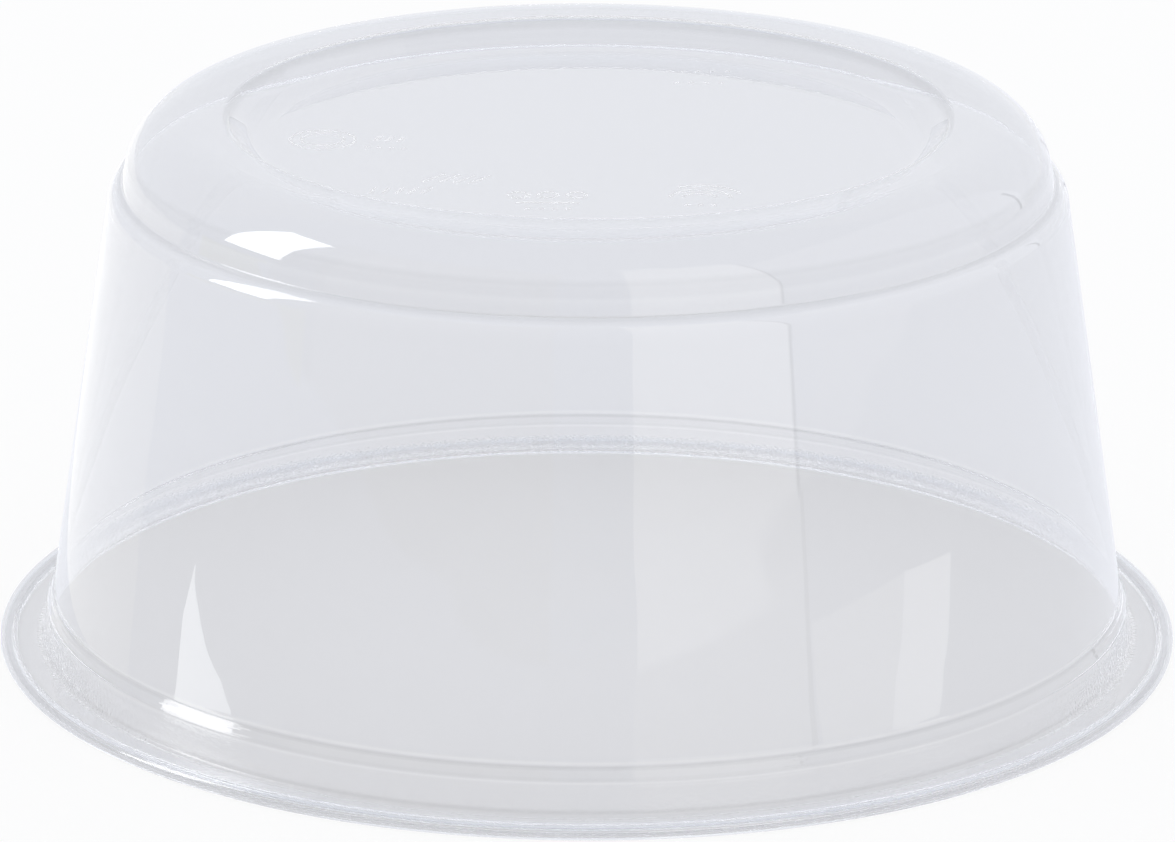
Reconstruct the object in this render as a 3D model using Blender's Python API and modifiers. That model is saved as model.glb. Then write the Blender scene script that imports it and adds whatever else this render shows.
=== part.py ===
"""A clear deli tub, standing upside down on its rim.

The tub is one sheet of clear plastic, formed warm over a mould and rolled at
the edge. So it is a single shell of one thickness: a panel sunk into the
base, the ring that the tub stands on when it is the right way up, a domed
shoulder, a tapered wall, a step and a flange where the lid seats, and a
rolled lip. All sizes are in metres, measured on the outer face.
"""

import math

import bpy
from mathutils import Vector

# The sheet that everything is formed from.
WALL_THICKNESS = 0.0004

# The rolled lip. The rim's diameter is what a lid is made to fit.
RIM_DIAMETER = 0.1175
LIP_BORE_RADIUS = 0.00038
LIP_LAND_WIDTH = 0.00044
LIP_FILLET = 0.00035
LIP_RETURN_ANGLE = math.radians(25)

# The flange inside the lip, a little below its top, and the band and step that the lid's plug seats in.
FLANGE_WIDTH = 0.00342
FLANGE_DROP = 0.00056
FLANGE_FILLET = 0.0008
BAND_HEIGHT = 0.00335
BAND_DRAFT = 0.00052
STEP_FILLET = 0.0007
STEP_WIDTH = 0.00061
STEP_HEIGHT = 0.00115
FOOT_FILLET = 0.0005

# The tapered wall, from the step up to the shoulder's ledge.
WALL_TAPER = 0.00619
LEDGE_FILLET = 0.00225
LEDGE_WIDTH = 0.00123
LEDGE_DROP = 0.00055
CREASE_FILLET = 0.00022

# The domed shoulder and the standing ring, up to the tub's base.
BASE_HEIGHT = 0.05446
DOME_HEIGHT = 0.0068
DOME_INSET = 0.00143
DOME_FILLET = 0.00634
RING_WIDTH = 0.00897
RING_DROP = 0.00028
RING_FILLET = 0.001

# The panel sunk into the base.
PANEL_DEPTH = 0.00284
PANEL_WALL_WIDTH = 0.00257
PANEL_FILLET = 0.003

# How round stretches are divided, and how near two points are before they are one.
TURN_STEPS = 60
CHORD_ERROR = 0.00003
MERGE_DISTANCE = 0.000001

# How much of a straight run the two fillets at its ends may use.
FILLET_SHARE = 0.96

CLEAR_PLASTIC_COLOUR = (0.86, 0.89, 0.92, 1.0)
CLEAR_PLASTIC_ROUGHNESS = 0.06
CLEAR_PLASTIC_IOR = 1.57


def clear_scene():
    for thing in list(bpy.data.objects):
        bpy.data.objects.remove(thing, do_unlink=True)


def clear_plastic():
    material = bpy.data.materials.new("clear_plastic")
    material.use_nodes = True
    shader = material.node_tree.nodes["Principled BSDF"]
    shader.inputs["Base Color"].default_value = CLEAR_PLASTIC_COLOUR
    shader.inputs["Roughness"].default_value = CLEAR_PLASTIC_ROUGHNESS
    shader.inputs["Metallic"].default_value = 0.0
    shader.inputs["IOR"].default_value = CLEAR_PLASTIC_IOR
    shader.inputs["Transmission Weight"].default_value = 1.0
    return material


def arc(centre, radius, first, last):
    """Points on a circle from one angle to another, close enough to follow its curve."""
    widest = 2 * math.acos(max(0.0, 1 - CHORD_ERROR / radius))
    steps = max(2, math.ceil(abs(last - first) / widest))
    angles = [first + (last - first) * step / steps for step in range(steps + 1)]
    return [centre + radius * Vector((math.cos(a), math.sin(a))) for a in angles]


def turn_between(before, after):
    """The angle from one direction to the next, positive to the left."""
    return math.atan2(before.x * after.y - before.y * after.x, before.dot(after))


def rounded_line(corners):
    """The points of a line through corners of (radius, height, fillet), with each corner rounded.

    Where two fillets need more than the straight run between them, both shrink to fit.
    """
    places = [Vector(corner[:2]) for corner in corners]
    runs = [end - start for start, end in zip(places, places[1:])]
    ways = [run.normalized() for run in runs]
    turns = [0.0]
    turns += [turn_between(before, after) for before, after in zip(ways, ways[1:])]
    turns += [0.0]
    wanted = [corner[2] * math.tan(abs(turn) / 2) for corner, turn in zip(corners, turns)]
    fits = [1.0] * len(corners)
    for i, run in enumerate(runs):
        used = wanted[i] + wanted[i + 1]
        room = FILLET_SHARE * run.length
        if used > room:
            fits[i] = min(fits[i], room / used)
            fits[i + 1] = min(fits[i + 1], room / used)

    points = [places[0]]
    for i in range(1, len(corners) - 1):
        radius = corners[i][2] * fits[i]
        start = places[i] - ways[i - 1] * wanted[i] * fits[i]
        side = Vector((-ways[i - 1].y, ways[i - 1].x)) * math.copysign(radius, turns[i])
        first = math.atan2(-side.y, -side.x)
        points += arc(start + side, radius, first, first + turns[i])
    return points + [places[-1]]


def outer_profile():
    """The tub's outer face, cut through its axis, from the middle of the base to the end of the lip."""
    lip_radius = LIP_BORE_RADIUS + WALL_THICKNESS
    lip_centre = Vector((RIM_DIAMETER / 2 - lip_radius, lip_radius))

    # Heights, from the flange up and then from the base down.
    flange_height = lip_centre.y + lip_radius - FLANGE_DROP
    step_height = flange_height + BAND_HEIGHT
    foot_height = step_height + STEP_HEIGHT
    crease_height = BASE_HEIGHT - DOME_HEIGHT
    mouth_height = BASE_HEIGHT - RING_DROP
    panel_height = mouth_height - PANEL_DEPTH

    # Radii, from the lip inwards.
    flange_radius = lip_centre.x - FLANGE_WIDTH
    step_radius = flange_radius - BAND_DRAFT
    foot_radius = step_radius - STEP_WIDTH
    ledge_radius = foot_radius - WALL_TAPER
    crease_radius = ledge_radius - LEDGE_WIDTH
    dome_radius = crease_radius - DOME_INSET
    mouth_radius = dome_radius - RING_WIDTH
    panel_radius = mouth_radius - PANEL_WALL_WIDTH

    # The fillet between the flange and the lip's side touches both.
    fillet_rise = flange_height + LIP_FILLET - lip_centre.y
    fillet_run = math.sqrt((lip_radius + LIP_FILLET) ** 2 - fillet_rise ** 2)
    fillet_centre = lip_centre + Vector((-fillet_run, fillet_rise))

    down_to_lip = rounded_line([
        (0.0, panel_height, 0.0),
        (panel_radius, panel_height, PANEL_FILLET),
        (mouth_radius, mouth_height, RING_FILLET),
        (dome_radius, BASE_HEIGHT, DOME_FILLET),
        (crease_radius, crease_height, CREASE_FILLET),
        (ledge_radius, crease_height - LEDGE_DROP, LEDGE_FILLET),
        (foot_radius, foot_height, FOOT_FILLET),
        (step_radius, step_height, STEP_FILLET),
        (flange_radius, flange_height, FLANGE_FILLET),
        (fillet_centre.x, flange_height, 0.0),
    ])

    # A fillet leads up into the lip, which rolls outwards and down, rests flat, and starts back up.
    outermost, bottom = 0.0, math.radians(-90)
    meeting = math.atan2(-fillet_rise, fillet_run)
    up_to_lip = arc(fillet_centre, LIP_FILLET, bottom, meeting)
    over = arc(lip_centre, lip_radius, meeting + math.pi, outermost)
    down = arc(lip_centre, lip_radius, outermost, bottom)
    roll_centre = lip_centre - Vector((LIP_LAND_WIDTH, 0.0))
    back_up = arc(roll_centre, lip_radius, bottom, bottom - LIP_RETURN_ANGLE)
    return down_to_lip + up_to_lip[1:] + over[1:] + down[1:] + back_up


def turned_shell(name, profile, material):
    """A thin shell: the profile turned about +Z and thickened inwards."""
    mesh = bpy.data.meshes.new(name)
    ends = [(i, i + 1) for i in range(len(profile) - 1)]
    mesh.from_pydata([(point.x, 0.0, point.y) for point in profile], ends, [])
    shell = bpy.data.objects.new(name, mesh)
    mesh.materials.append(material)

    turn = shell.modifiers.new("turn", "SCREW")
    turn.axis = "Z"
    turn.angle = math.tau
    turn.steps = TURN_STEPS
    turn.render_steps = TURN_STEPS
    turn.use_merge_vertices = True
    turn.merge_threshold = MERGE_DISTANCE
    turn.use_smooth_shade = True

    sheet = shell.modifiers.new("sheet", "SOLIDIFY")
    sheet.thickness = WALL_THICKNESS
    sheet.offset = -1.0
    sheet.use_even_offset = True
    sheet.use_rim = True
    return shell


def main():
    clear_scene()
    parts = bpy.data.collections.new("deli_tub")
    bpy.context.scene.collection.children.link(parts)
    parts.objects.link(turned_shell("tub", outer_profile(), clear_plastic()))


main()
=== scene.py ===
"""A clear deli tub, upside down on its rim, in a plain white studio."""

import math

import bmesh
import bpy
from mathutils import Matrix, Vector


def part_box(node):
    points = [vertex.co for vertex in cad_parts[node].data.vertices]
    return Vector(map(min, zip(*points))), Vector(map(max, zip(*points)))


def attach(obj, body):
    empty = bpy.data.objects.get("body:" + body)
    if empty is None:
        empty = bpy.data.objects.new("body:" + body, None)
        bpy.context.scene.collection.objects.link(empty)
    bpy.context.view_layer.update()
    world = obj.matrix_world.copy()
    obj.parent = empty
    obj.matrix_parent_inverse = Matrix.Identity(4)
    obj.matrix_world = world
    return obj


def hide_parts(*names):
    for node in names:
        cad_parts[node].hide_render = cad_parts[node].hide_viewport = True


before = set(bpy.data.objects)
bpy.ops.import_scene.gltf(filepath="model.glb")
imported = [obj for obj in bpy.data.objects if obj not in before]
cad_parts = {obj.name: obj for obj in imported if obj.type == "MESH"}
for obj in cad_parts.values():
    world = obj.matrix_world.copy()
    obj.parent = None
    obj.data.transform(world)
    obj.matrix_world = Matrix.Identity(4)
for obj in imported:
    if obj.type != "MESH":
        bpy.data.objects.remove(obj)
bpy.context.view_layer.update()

# The camera looks slightly down at the upturned tub from a long way off, as a product
# photographer does with a long lens, so that the rim and the base keep nearly the same shape.
low_corner, high_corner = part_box("tub")
rim_radius = high_corner.x
camera_data = bpy.data.cameras.new("camera")
camera_data.sensor_width = 36.0
camera_data.lens = 250.33
camera = bpy.data.objects.new("camera", camera_data)
bpy.context.scene.collection.objects.link(camera)
bpy.context.scene.camera = camera
camera_tilt = math.radians(18.247)
camera_roll = math.radians(0.194)
camera_distance = 13.857 * rim_radius
camera_aim = Vector((0.0, 0.0, 0.02224))
turned_down = Matrix.Rotation(math.radians(90) - camera_tilt, 4, "X")
rolled = Matrix.Rotation(camera_roll, 4, "Z")
drawn_back = Matrix.Translation((0, 0, camera_distance))
camera.matrix_world = Matrix.Translation(camera_aim) @ turned_down @ rolled @ drawn_back

# The tub is one sheet of clear plastic, drawn warm over a mould and rolled at the edge.
# Its outline is drawn here from the edge of the base panel to the end of the roll, by straight runs
# and by spinning a point round each fillet's centre, and then turned about the tub's axis. The panel
# is filled in last, round its raised marks.
WALL_THICKNESS = 0.0004
LIP_RADIUS = 0.00078
LIP_LAND_WIDTH = 0.00044
LIP_FILLET = 0.00035
LIP_RETURN = math.radians(25)
FLANGE_WIDTH = 0.00342
FLANGE_DROP = 0.00056
FLANGE_FILLET = 0.00035
BAND_HEIGHT = 0.00335
BAND_DRAFT = 0.00052
STEP_FILLET = 0.00045
STEP_WIDTH = 0.00061
STEP_HEIGHT = 0.00115
FOOT_FILLET = 0.00015
WALL_TAPER = 0.00619
LEDGE_FILLET = 0.00225
LEDGE_WIDTH = 0.00123
LEDGE_DROP = 0.00055
CREASE_FILLET = 0.00022
BASE_HEIGHT = 0.05446
DOME_HEIGHT = 0.0068
DOME_INSET = 0.00143
DOME_FILLET = 0.00634
RING_WIDTH = 0.00897
RING_DROP = 0.00028
RING_FILLET = 0.001
PANEL_DEPTH = 0.00284
PANEL_WALL_WIDTH = 0.00257
PANEL_FILLET = 0.003
FILLET_SHARE = 0.96
TURN_STEPS = 288
ARC_STEP = math.radians(5)
RIB_WIDTH = 0.00056
RIB_MARGIN = 0.0001
RIB_RELIEF = 0.00003
RIB_SLOPE = 0.00014
RIB_STEP = 0.00025
STUD_RADIUS = 0.00042
FAN_STUD_RADIUS = 0.0004
STUD_SIDES = 14
MERGE_DISTANCE = 1e-7
FULL_TURN = math.tau

flange_radius = rim_radius - LIP_RADIUS - FLANGE_WIDTH
step_radius = flange_radius - BAND_DRAFT
foot_radius = step_radius - STEP_WIDTH
ledge_radius = foot_radius - WALL_TAPER
crease_radius = ledge_radius - LEDGE_WIDTH
dome_radius = crease_radius - DOME_INSET
mouth_radius = dome_radius - RING_WIDTH
panel_radius = mouth_radius - PANEL_WALL_WIDTH
flange_height = 2 * LIP_RADIUS - FLANGE_DROP
step_height = flange_height + BAND_HEIGHT
foot_height = step_height + STEP_HEIGHT
crease_height = BASE_HEIGHT - DOME_HEIGHT
mouth_height = BASE_HEIGHT - RING_DROP
panel_height = mouth_height - PANEL_DEPTH

# The flange turns up through a small fillet into the roll's side.
lip_centre = Vector((rim_radius - LIP_RADIUS, 0.0, LIP_RADIUS))
fillet_rise = flange_height + LIP_FILLET - LIP_RADIUS
fillet_run = math.sqrt((LIP_RADIUS + LIP_FILLET) ** 2 - fillet_rise ** 2)
flange_end = Vector((lip_centre.x - fillet_run, 0.0, flange_height))
fillet_turn = math.atan2(fillet_run, fillet_rise)

# the outline's corners, as (radius, height, fillet)
corners = [
    (0.0, panel_height, 0.0),
    (panel_radius, panel_height, PANEL_FILLET),
    (mouth_radius, mouth_height, RING_FILLET),
    (dome_radius, BASE_HEIGHT, DOME_FILLET),
    (crease_radius, crease_height, CREASE_FILLET),
    (ledge_radius, crease_height - LEDGE_DROP, LEDGE_FILLET),
    (foot_radius, foot_height, FOOT_FILLET),
    (step_radius, step_height, STEP_FILLET),
    (flange_radius, flange_height, FLANGE_FILLET),
    (flange_end.x, flange_height, 0.0),
]
places = [Vector((radius, 0.0, height)) for radius, height, fillet in corners]
ways = [(end - start).normalized() for start, end in zip(places, places[1:])]
turns = [math.atan2(a.x * b.z - a.z * b.x, a.dot(b)) for a, b in zip(ways, ways[1:])]
# where two fillets need more than the run between them, both shrink to fit
reaches = [corner[2] * math.tan(abs(turn) / 2) for corner, turn in zip(corners[1:], turns)]
reaches = [0.0] + reaches + [0.0]
fits = [1.0] * len(corners)
for i, (start, end) in enumerate(zip(places, places[1:])):
    used = reaches[i] + reaches[i + 1]
    room = FILLET_SHARE * (end - start).length
    if used > room:
        fits[i] = min(fits[i], room / used)
        fits[i + 1] = min(fits[i + 1], room / used)

tub = bmesh.new()


def spin_point(point, centre, turn):
    """Draws an arc on from the outline's last point, and gives the arc's end."""
    steps = max(3, math.ceil(abs(turn) / ARC_STEP))
    spun = bmesh.ops.spin(tub, geom=[point], cent=centre, axis=(0, -1, 0), angle=turn, steps=steps)
    return spun["geom_last"][0]


last = None
for i in range(1, len(corners) - 1):
    arc_start = places[i] - ways[i - 1] * reaches[i] * fits[i]
    point = tub.verts.new(arc_start)
    if last:
        tub.edges.new((last, point))
    radius = math.copysign(corners[i][2] * fits[i], turns[i - 1])
    side = Vector((-ways[i - 1].z, 0.0, ways[i - 1].x)) * radius
    last = spin_point(point, arc_start + side, turns[i - 1])
flange_point = tub.verts.new(places[-1])
tub.edges.new((last, flange_point))
lip_side = spin_point(flange_point, flange_end + Vector((0.0, 0.0, LIP_FILLET)), fillet_turn)
lip_bottom = spin_point(lip_side, lip_centre, -fillet_turn - math.pi)
land_end = tub.verts.new(lip_bottom.co - Vector((LIP_LAND_WIDTH, 0.0, 0.0)))
tub.edges.new((lip_bottom, land_end))
spin_point(land_end, land_end.co + Vector((0.0, 0.0, LIP_RADIUS)), -LIP_RETURN)
bmesh.ops.spin(tub, geom=tub.verts[:] + tub.edges[:], cent=(0, 0, 0), axis=(0, 0, 1), angle=FULL_TURN,
               steps=TURN_STEPS, use_merge=True)
bmesh.ops.remove_doubles(tub, verts=tub.verts, dist=MERGE_DISTANCE)
turned_faces = set(tub.faces)
panel_edge = [e for e in tub.edges if e.is_boundary and e.verts[0].co.z > BASE_HEIGHT / 2]


def rib_arc(x, y, radius, first, turn):
    """A raised line that follows a circle round (x, y) on the panel."""
    ends = []
    for side in (radius - RIB_WIDTH / 2, radius + RIB_WIDTH / 2):
        ends.append(tub.verts.new((x + side * math.cos(first), y + side * math.sin(first), panel_height)))
    edge = tub.edges.new(ends)
    steps = max(2, round(abs(turn) * radius / RIB_STEP))
    bmesh.ops.spin(tub, geom=ends + [edge], cent=(x, y, panel_height), axis=(0, 0, 1), angle=turn,
                   steps=steps, use_merge=turn == FULL_TURN)


def rib_bar(x, y, length, angle):
    """A short straight raised line, centred on (x, y)."""
    placed = Matrix.Translation((x, y, panel_height)) @ Matrix.Rotation(angle, 4, "Z")
    bmesh.ops.create_grid(tub, x_segments=1, y_segments=1, size=0.5,
                          matrix=placed @ Matrix.Diagonal((length, RIB_WIDTH, 1, 1)))


def stud(x, y, radius):
    """A small raised dot."""
    bmesh.ops.create_circle(tub, cap_ends=True, segments=STUD_SIDES, radius=radius,
                            matrix=Matrix.Translation((x, y, panel_height)))


# on the left, two rings with a fan of studs and bars beside them
rib_arc(-0.0262, 0.0002, 0.0021, 0.0, FULL_TURN)
rib_arc(-0.0262, 0.0002, 0.0032, 0.0, FULL_TURN)
for i in range(4):
    stud(-0.0217 + 0.0012 * i, -0.0022 - 0.0002 * i, FAN_STUD_RADIUS)
for i in range(3):
    rib_bar(-0.0207 + 0.0011 * i, 0.0008 - 0.0002 * i, 0.0017, math.radians(70))
# near the front on the left, two rows of slanted bars
for i in range(5):
    rib_bar(-0.0208 + 0.0013 * i, -0.0172, 0.0021, math.radians(78 - 4 * i))
for i in range(4):
    rib_bar(-0.0150 + 0.0015 * i, -0.0128 - 0.0002 * i, 0.0033, math.radians(52))
# in front, three small rings, a long bar and a row of studs
for i in range(3):
    rib_arc(-0.0067 + 0.0028 * i, -0.0186, 0.00095, 0.0, FULL_TURN)
for i in range(4):
    stud(-0.0058 + 0.0013 * i, -0.0232, STUD_RADIUS)
rib_bar(-0.0039, -0.0211, 0.0064, 0.0)
# near the front on the right, three nested arcs over a row of studs
rib_arc(0.0108, -0.0196, 0.0017, math.radians(20), math.radians(140))
rib_arc(0.0108, -0.0196, 0.0030, math.radians(10), math.radians(160))
rib_arc(0.0108, -0.0196, 0.0043, math.radians(25), math.radians(95))
for i in range(3):
    stud(0.0095 + 0.0013 * i, -0.0217, STUD_RADIUS)
# at the back, two rows of studs
for row in range(2):
    for i in range(5 - row):
        stud(0.0081 + 0.0015 * i + 0.0008 * row, 0.0253 - 0.0042 * row, STUD_RADIUS)

ribs = [f for f in tub.faces if f not in turned_faces]
outlines = [e for f in ribs for e in f.edges if e.is_boundary]
bmesh.ops.triangle_fill(tub, edges=panel_edge + outlines, use_beauty=True, use_dissolve=False,
                        normal=(0, 0, 1))
bmesh.ops.recalc_face_normals(tub, faces=tub.faces)
if max(tub.faces, key=lambda f: f.calc_center_median().z).normal.z < 0:
    bmesh.ops.reverse_faces(tub, faces=tub.faces)
# each mark keeps a flat margin, and inside it slopes up to its top
for width, rise in ((RIB_MARGIN, 0.0), (RIB_SLOPE, RIB_RELIEF)):
    bmesh.ops.inset_region(tub, faces=ribs, thickness=width, depth=rise, use_boundary=True,
                           use_even_offset=True)
for face in turned_faces:
    face.smooth = True

tub_mesh = bpy.data.meshes.new("clear_tub")
tub.to_mesh(tub_mesh)
tub.free()
clear_tub = bpy.data.objects.new("clear_tub", tub_mesh)
bpy.context.scene.collection.objects.link(clear_tub)
sheet = clear_tub.modifiers.new("sheet", "SOLIDIFY")
sheet.thickness = WALL_THICKNESS
sheet.offset = -1.0
sheet.use_even_offset = True

# The plastic is clear and glossy. Its colour carries painted shade and painted highlight lines, which
# follow the radius and the height, and fine rings and grain roughen the rim.
PLASTIC_ROUGHNESS = 0.015
PLASTIC_IOR = 1.57
PLASTIC_TINT = (0.950, 0.952, 0.960)
RADIUS_SPAN = 0.06
FOOT_SPAN = 0.01
HEIGHT_SPAN = 0.06
RING_RELIEF = 0.00002
GRAIN_SCALE = 2600.0
GRAIN_RELIEF = 0.00006
RIPPLE_SCALE = 55.0
RIPPLE_RELIEF = 0.00008
STEPS_ALLOWED = 5.0
BOUNCES_ALLOWED = 2.5
SHADE_KEPT = 0.22

plastic = bpy.data.materials.new("clear_plastic")
plastic.use_nodes = True
nodes, links = plastic.node_tree.nodes, plastic.node_tree.links


def give(socket, value):
    """Sets a socket to a number or colour, or links another node's output to it."""
    if isinstance(value, bpy.types.NodeSocket):
        links.new(value, socket)
    else:
        socket.default_value = value


def worked(kind, operation, first, second):
    """The result of a Math or Vector Math node on two values."""
    step = nodes.new(kind)
    step.operation = operation
    give(step.inputs[0], first)
    give(step.inputs[1], second)
    return step.outputs[0]


def graph(source, span, stops, tint=(1.0, 1.0, 1.0)):
    """A curve through (distance in mm, value) stops, as a ramp of greys or of one tint."""
    ramp = nodes.new("ShaderNodeValToRGB")
    links.new(worked("ShaderNodeMath", "DIVIDE", source, span), ramp.inputs["Fac"])
    elements = ramp.color_ramp.elements
    while len(elements) < len(stops):
        elements.new(0.5)
    for element, (distance, value) in zip(elements, stops):
        element.position = distance / 1000 / span
        element.color = (value * tint[0], value * tint[1], value * tint[2], 1)
    return ramp.outputs["Color"]


def noise(scale, detail):
    """An even noise through the plastic."""
    texture = nodes.new("ShaderNodeTexNoise")
    texture.inputs["Scale"].default_value = scale
    texture.inputs["Detail"].default_value = detail
    links.new(place, texture.inputs["Vector"])
    return texture.outputs["Fac"]


def relief(height, depth, strength, below=None):
    """The surface's direction with a fine relief laid over it."""
    bump = nodes.new("ShaderNodeBump")
    bump.inputs["Distance"].default_value = depth
    give(bump.inputs["Strength"], strength)
    links.new(height, bump.inputs["Height"])
    if below is not None:
        links.new(below, bump.inputs["Normal"])
    return bump.outputs["Normal"]


shader = nodes["Principled BSDF"]
shader.inputs["Roughness"].default_value = PLASTIC_ROUGHNESS
shader.inputs["IOR"].default_value = PLASTIC_IOR
shader.inputs["Transmission Weight"].default_value = 1.0
place = nodes.new("ShaderNodeTexCoord").outputs["Object"]
split = nodes.new("ShaderNodeSeparateXYZ")
links.new(place, split.inputs[0])
height = split.outputs["Z"]
from_axis = nodes.new("ShaderNodeVectorMath")
from_axis.operation = "LENGTH"
links.new(worked("ShaderNodeVectorMath", "MULTIPLY", place, (1.0, 1.0, 0.0)), from_axis.inputs[0])
radius = from_axis.outputs["Value"]

# painted shade and highlight lines at the mouth of the panel, the crease and the roll
painted_fold_lines = graph(radius, RADIUS_SPAN, [
    (0.0, 1.0), (35.0, 1.0), (35.3, 0.87), (35.8, 0.87), (36.1, 1.0), (45.05, 1.0), (45.2, 0.90),
    (45.4, 0.90), (45.6, 1.05), (45.85, 1.05), (46.0, 0.86), (46.3, 0.86), (46.5, 1.0), (46.65, 1.05),
    (46.85, 1.05), (47.0, 1.0), (56.6, 1.0), (57.0, 0.95), (57.9, 0.97), (58.05, 1.03), (58.2, 0.92),
    (58.36, 0.92), (58.44, 1.04), (58.54, 1.04), (58.6, 0.87), (58.68, 0.87), (58.73, 1.04),
    (60.0, 1.04)], PLASTIC_TINT)
# painted shade and highlight lines at the step and the foot of the wall
painted_foot_lines = graph(height, FOOT_SPAN, [
    (0.0, 1.0), (3.9, 1.0), (4.02, 1.05), (4.15, 1.05), (4.25, 0.95), (4.4, 0.92), (4.5, 0.97),
    (5.2, 0.97), (5.3, 0.87), (5.5, 0.87), (5.62, 1.0), (5.75, 1.05), (5.9, 1.05), (6.0, 1.0),
    (10.0, 1.0)])
# painted shade in the corner where the band meets the flange
painted_corner_shade = graph(height, FOOT_SPAN, [
    (0.0, 1.0), (1.01, 1.0), (1.06, 0.9), (1.4, 0.9), (1.6, 1.0), (10.0, 1.0)])
beyond_flange = graph(radius, RADIUS_SPAN, [(0.0, 0.0), (55.4, 0.0), (55.8, 1.0), (60.0, 1.0)])
painted_corner_shade = worked("ShaderNodeVectorMath", "MAXIMUM", painted_corner_shade, beyond_flange)
# painted shade on the tops of the raised marks
painted_mark_shade = graph(height, HEIGHT_SPAN, [(0.0, 1.0), (51.355, 1.0), (51.36, 0.8), (60.0, 0.8)])
beyond_panel = graph(radius, RADIUS_SPAN, [(0.0, 0.0), (30.9, 0.0), (31.0, 1.0), (60.0, 1.0)])
painted_mark_shade = worked("ShaderNodeVectorMath", "MAXIMUM", painted_mark_shade, beyond_panel)
# the plastic's colour: its tint with all the painted shade and highlight lines laid over it
tint = painted_fold_lines
for painted_lines in (painted_foot_lines, painted_corner_shade, painted_mark_shade):
    tint = worked("ShaderNodeVectorMath", "MULTIPLY", tint, painted_lines)
links.new(tint, shader.inputs["Base Color"])

# light that has long been caught inside the sheet is let out of it, with a little shade
caught = nodes.new("ShaderNodeLightPath")
spare = worked("ShaderNodeMath", "SUBTRACT", caught.outputs["Ray Depth"], STEPS_ALLOWED)
bounced = worked("ShaderNodeMath", "MAXIMUM", spare, caught.outputs["Glossy Depth"])
let_out = nodes.new("ShaderNodeMapRange")
let_out.inputs["To Min"].default_value = SHADE_KEPT
links.new(worked("ShaderNodeMath", "LESS_THAN", bounced, BOUNCES_ALLOWED), let_out.inputs["Value"])
links.new(let_out.outputs["Result"], shader.inputs["Alpha"])

# fine rings round the foot and the crease, grain where the band meets the flange and faintly on the
# roll, and a soft ripple all over
foot_rings = graph(height, FOOT_SPAN, [
    (0.0, 0.5), (3.4, 0.5), (3.6, 0.7), (3.8, 0.5), (4.23, 0.5), (4.36, 1.0), (4.49, 0.5), (4.88, 0.5),
    (5.0, 0.9), (5.12, 0.5), (5.36, 0.5), (5.5, 0.0), (5.64, 0.5), (5.85, 0.5), (5.98, 0.75),
    (6.12, 0.5), (10.0, 0.5)])
crease_rings = graph(radius, RADIUS_SPAN, [
    (0.0, 0.5), (45.3, 0.5), (45.45, 0.9), (45.6, 0.5), (46.2, 0.5), (46.35, 0.1), (46.5, 0.5),
    (46.7, 0.9), (46.9, 0.5), (60.0, 0.5)])
rim_grain = graph(radius, RADIUS_SPAN, [
    (0.0, 0.0), (54.0, 0.0), (54.3, 1.0), (54.8, 1.0), (55.2, 0.0), (57.4, 0.0), (57.8, 0.05),
    (58.0, 0.05), (58.2, 0.0), (60.0, 0.0)])
rings = worked("ShaderNodeMath", "ADD", foot_rings, crease_rings)
surface = relief(rings, RING_RELIEF, 1.0)
surface = relief(noise(GRAIN_SCALE, 2.0), GRAIN_RELIEF, rim_grain, surface)
surface = relief(noise(RIPPLE_SCALE, 1.0), RIPPLE_RELIEF, 1.0, surface)
links.new(surface, shader.inputs["Normal"])
tub_mesh.materials.append(plastic)
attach(clear_tub, "root")
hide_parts("tub")

# The floor is a plain white sweep, wide enough to fill the view on every side. It carries the tub's
# shadow, and the plastic shows it a little dimmer than the camera sees it.
FLOOR_RADIUS = 3.0
FLOOR_DROP = 0.00005
FLOOR_WHITE = (0.915, 0.915, 0.93, 1)
FLOOR_THROUGH_PLASTIC = (0.855, 0.855, 0.87, 1)
FLOOR_IN_MIRROR = (0.90, 0.92, 0.98, 1)
WHITE = (1.0, 1.0, 1.0, 1)
THROUGH_SHARE = 0.625
CAMERA_SHARE = 0.92

floor_mesh = bpy.data.meshes.new("floor")
floor_bm = bmesh.new()
bmesh.ops.create_circle(floor_bm, cap_ends=True, segments=96, radius=FLOOR_RADIUS)
floor_bm.to_mesh(floor_mesh)
floor_bm.free()
floor = bpy.data.objects.new("floor", floor_mesh)
floor.location.z = -FLOOR_DROP
bpy.context.scene.collection.objects.link(floor)
white = bpy.data.materials.new("white_sweep")
white.use_nodes = True
nodes, links = white.node_tree.nodes, white.node_tree.links
nodes.clear()


def glow(colour):
    """An even glow of one colour."""
    light = nodes.new("ShaderNodeEmission")
    light.inputs["Color"].default_value = colour
    return light.outputs["Emission"]


def mixed(share, first, second):
    """Two shaders together, by the share of the second."""
    mix = nodes.new("ShaderNodeMixShader")
    for socket, value in zip(mix.inputs, (share, first, second)):
        links.new(value, socket)
    return mix.outputs["Shader"]


board = nodes.new("ShaderNodeBsdfPrincipled")
board.inputs["Base Color"].default_value = FLOOR_WHITE
board.inputs["Roughness"].default_value = 1.0
board.inputs["Specular IOR Level"].default_value = 0.0
path = nodes.new("ShaderNodeLightPath").outputs
seen_through = worked("ShaderNodeMath", "MAXIMUM", path["Is Transmission Ray"], path["Is Glossy Ray"])
seen_through = worked("ShaderNodeMath", "MULTIPLY", seen_through, THROUGH_SHARE)
seen_by_camera = worked("ShaderNodeMath", "MULTIPLY", path["Is Camera Ray"], CAMERA_SHARE)
sweep = mixed(seen_through, board.outputs["BSDF"], glow(FLOOR_THROUGH_PLASTIC))
sweep = mixed(path["Is Reflection Ray"], sweep, glow(FLOOR_IN_MIRROR))
sweep = mixed(seen_by_camera, sweep, glow(WHITE))
links.new(sweep, nodes.new("ShaderNodeOutputMaterial").inputs["Surface"])
floor_mesh.materials.append(white)

# The studio stands on every side of the tub, as upright panels and softboxes of even light. Nothing but
# the plastic shows them.


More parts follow.
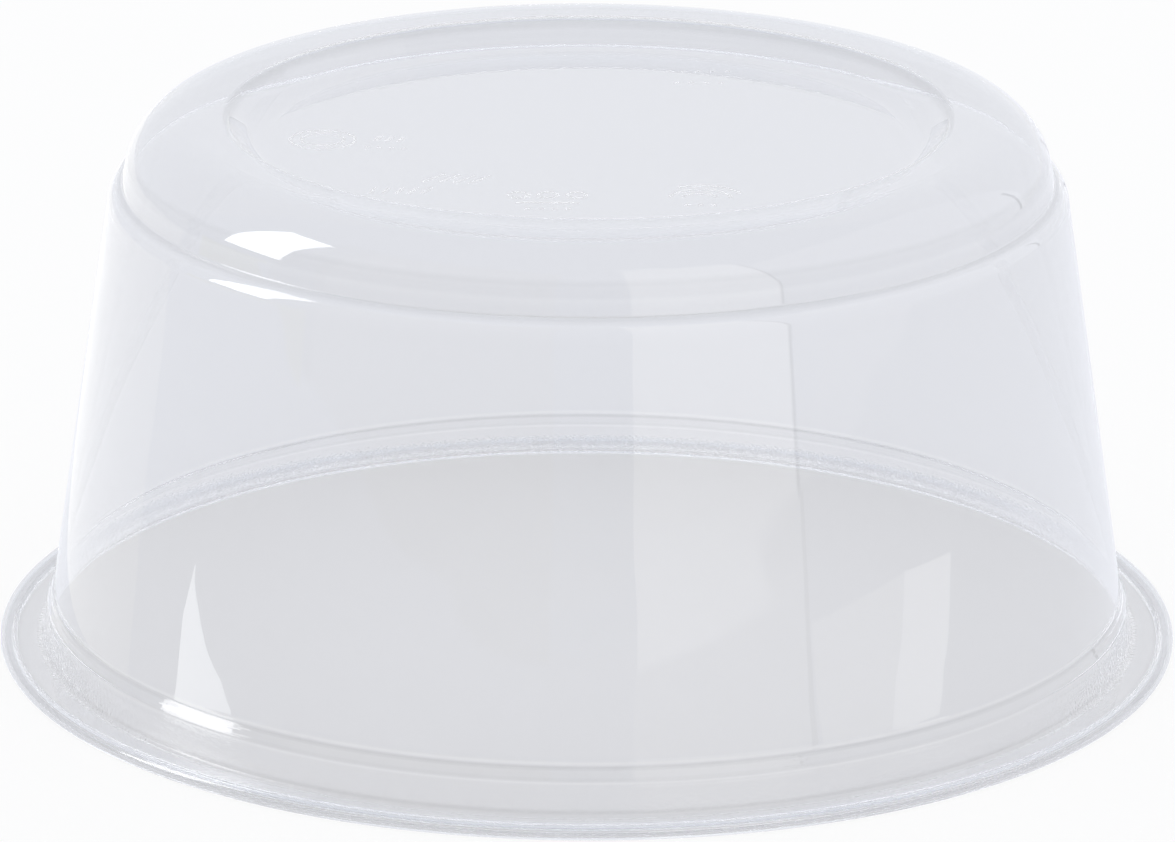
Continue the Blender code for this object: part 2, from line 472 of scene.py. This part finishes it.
def glowing(name, shape, strength, colour):
    """A studio surface that glows evenly and shows only in what the plastic mirrors and bends."""
    mesh = bpy.data.meshes.new(name)
    shape.to_mesh(mesh)
    shape.free()
    material = bpy.data.materials.new(name)
    material.use_nodes = True
    tree = material.node_tree
    tree.nodes.clear()
    light = tree.nodes.new("ShaderNodeEmission")
    light.inputs["Color"].default_value = (*colour, 1)
    light.inputs["Strength"].default_value = strength
    output = tree.nodes.new("ShaderNodeOutputMaterial")
    tree.links.new(light.outputs["Emission"], output.inputs["Surface"])
    mesh.materials.append(material)
    thing = bpy.data.objects.new(name, mesh)
    bpy.context.scene.collection.objects.link(thing)
    thing.visible_camera = False
    thing.visible_diffuse = False
    thing.visible_shadow = False
    return thing


def panel(name, centre, width, height, facing, corner, strength, colour=(1, 1, 1)):
    """A studio panel: an upright rounded rectangle, turned to face an azimuth in degrees."""
    shape = bmesh.new()
    bmesh.ops.create_grid(shape, x_segments=1, y_segments=1, size=0.5)
    bmesh.ops.scale(shape, vec=(width, height, 1), verts=shape.verts)
    if corner:
        bmesh.ops.bevel(shape, geom=shape.verts[:], offset=corner, affect="VERTICES", segments=8,
                        profile=0.5, material=-1)
    upright = Matrix.Rotation(math.radians(90), 4, "X")
    turned = Matrix.Translation(centre) @ Matrix.Rotation(math.radians(facing), 4, "Z") @ upright
    bmesh.ops.transform(shape, matrix=turned, verts=shape.verts)
    return glowing(name, shape, strength, colour)


def standing(azimuth, distance, height):
    """A place round the tub, by the azimuth from the camera's side, the distance and the height."""
    angle = math.radians(azimuth)
    return Vector((math.sin(angle) * distance, -math.cos(angle) * distance, height))


unseen_through_plastic = [
    panel("back_panel", Vector((-0.58, 0.9, 0.68)), width=3.24, height=2.16, facing=0.0, corner=0.35,
          strength=0.93, colour=(0.99, 1.0, 1.03)),
    panel("right_panel", Vector((1.0, -0.02, 0.5)), width=1.84, height=1.86, facing=90, corner=0.1,
          strength=1.12, colour=(0.99, 1.0, 1.04)),
    panel("far_stand", standing(128.5, 0.9, 0.12), width=0.018, height=0.42, facing=128.5, corner=0.0,
          strength=0.1),
    panel("left_ground", standing(-86, 1.02, 0.036), width=0.7, height=0.08, facing=-86, corner=0.0,
          strength=1.0, colour=(0.80, 0.79, 0.55)),
    panel("left_fill", standing(-73, 1.25, 0.6), width=0.36, height=1.9, facing=-73, corner=0.0,
          strength=0.62),
    panel("softbox_trim", standing(17, 1.08, 1.545), width=0.3, height=0.03, facing=28, corner=0.0,
          strength=3.5),
]
for thing in unseen_through_plastic:
    thing.visible_transmission = False
panel("right_softbox", standing(28, 1.1, 0.6), width=0.72, height=1.9, facing=28, corner=0.12, strength=1.3)
panel("right_softbox_frame", standing(28, 1.11, 0.6) + Vector((0.009, 0.005, 0.0)), width=0.74, height=1.91,
      facing=28, corner=0.13, strength=0.25)
panel("left_light", standing(-88, 1.0, 0.57), width=0.33, height=0.82, facing=-88, corner=0.02, strength=4.5)
panel("front_left_panel", standing(-38, 1.2, 0.6), width=1.4, height=1.9, facing=-38, corner=0.12,
      strength=0.80)

# Low light falls across the floor beside the tub and the softboxes light patches of it. These patches
# are cards just over the floor, which only the plastic's mirror images show.


def floor_card(name, outline, strength, colour=(1.0, 1.0, 1.0), height=0.0001):
    """A patch of light or shade on the floor, inside an outline of (x, y) places."""
    card = bmesh.new()
    marks = [card.verts.new((x, y, height)) for x, y in outline]
    edges = [card.edges.new(pair) for pair in zip(marks, marks[1:] + marks[:1])]
    bmesh.ops.triangle_fill(card, edges=edges, use_beauty=True)
    glowing(name, card, strength, colour).visible_transmission = False


floor_card("floor_streak", [
    (-0.205, -0.0247), (-0.151, -0.024), (-0.101, -0.030), (-0.070, -0.033), (-0.070, -0.053),
    (-0.099, -0.053), (-0.120, -0.051), (-0.138, -0.044), (-0.163, -0.036), (-0.185, -0.028)],
    strength=3.2, colour=(0.97, 0.99, 1.0))
floor_card("floor_left", [
    (-0.070, -0.019), (-0.080, -0.015), (-0.132, 0.009), (-0.206, 0.047), (-0.312, 0.094), (-0.9, 0.38),
    (-0.3, 0.9), (-0.07, 0.3)], strength=1.15)
floor_card("floor_softbox", [
    (0.181, -1.073), (0.061, -0.391), (0.020, -0.146), (0.012, -0.090), (0.075, -0.098),
    (0.113, -0.133), (0.178, -0.194), (0.430, -0.424), (0.9, -0.85)], strength=1.15)
floor_card("floor_frame", [
    (0.075, -0.098), (0.113, -0.133), (0.178, -0.194), (0.430, -0.424), (0.9, -0.85), (0.912, -0.838),
    (0.437, -0.417), (0.1815, -0.1905), (0.1155, -0.1305), (0.0775, -0.096)], strength=0.35)
floor_card("floor_right", [
    (0.400, -0.380), (0.185, -0.190), (0.118, -0.129), (0.085, -0.100), (0.097, -0.075),
    (0.161, -0.097), (0.222, -0.111), (0.318, -0.135)], strength=1.35)
floor_card("floor_patch", [
    (0.318, -0.135), (0.222, -0.111), (0.161, -0.097), (0.097, -0.075), (0.094, -0.054),
    (0.141, -0.058), (0.191, -0.057), (0.265, -0.056)], strength=2.0, height=0.0003)

# The room is plain white to the camera and lights the floor evenly. Straight mirror images in the
# plastic show it dark beyond the panels, and light that has gone through the plastic sees it pale.
ROOM_DARK = (0.10, 0.10, 0.11, 1)
ROOM_PALE = (0.82, 0.85, 0.91, 1)
FIRST_MIRROR_DEPTH = 1.5

world = bpy.data.worlds.new("studio")
bpy.context.scene.world = world
world.use_nodes = True
nodes, links = world.node_tree.nodes, world.node_tree.links
nodes.clear()


def sky(colour):
    """An even light from all round."""
    background = nodes.new("ShaderNodeBackground")
    background.inputs["Color"].default_value = colour
    return background.outputs["Background"]


path = nodes.new("ShaderNodeLightPath").outputs
plainly_seen = worked("ShaderNodeMath", "MAXIMUM", path["Is Camera Ray"], path["Is Diffuse Ray"])
gone_through = worked("ShaderNodeMath", "GREATER_THAN", path["Ray Depth"], FIRST_MIRROR_DEPTH)
room = mixed(plainly_seen, sky(ROOM_DARK), sky(WHITE))
room = mixed(gone_through, room, sky(ROOM_PALE))
links.new(room, nodes.new("ShaderNodeOutputWorld").inputs["Surface"])

bpy.context.scene.view_settings.view_transform = "Standard"
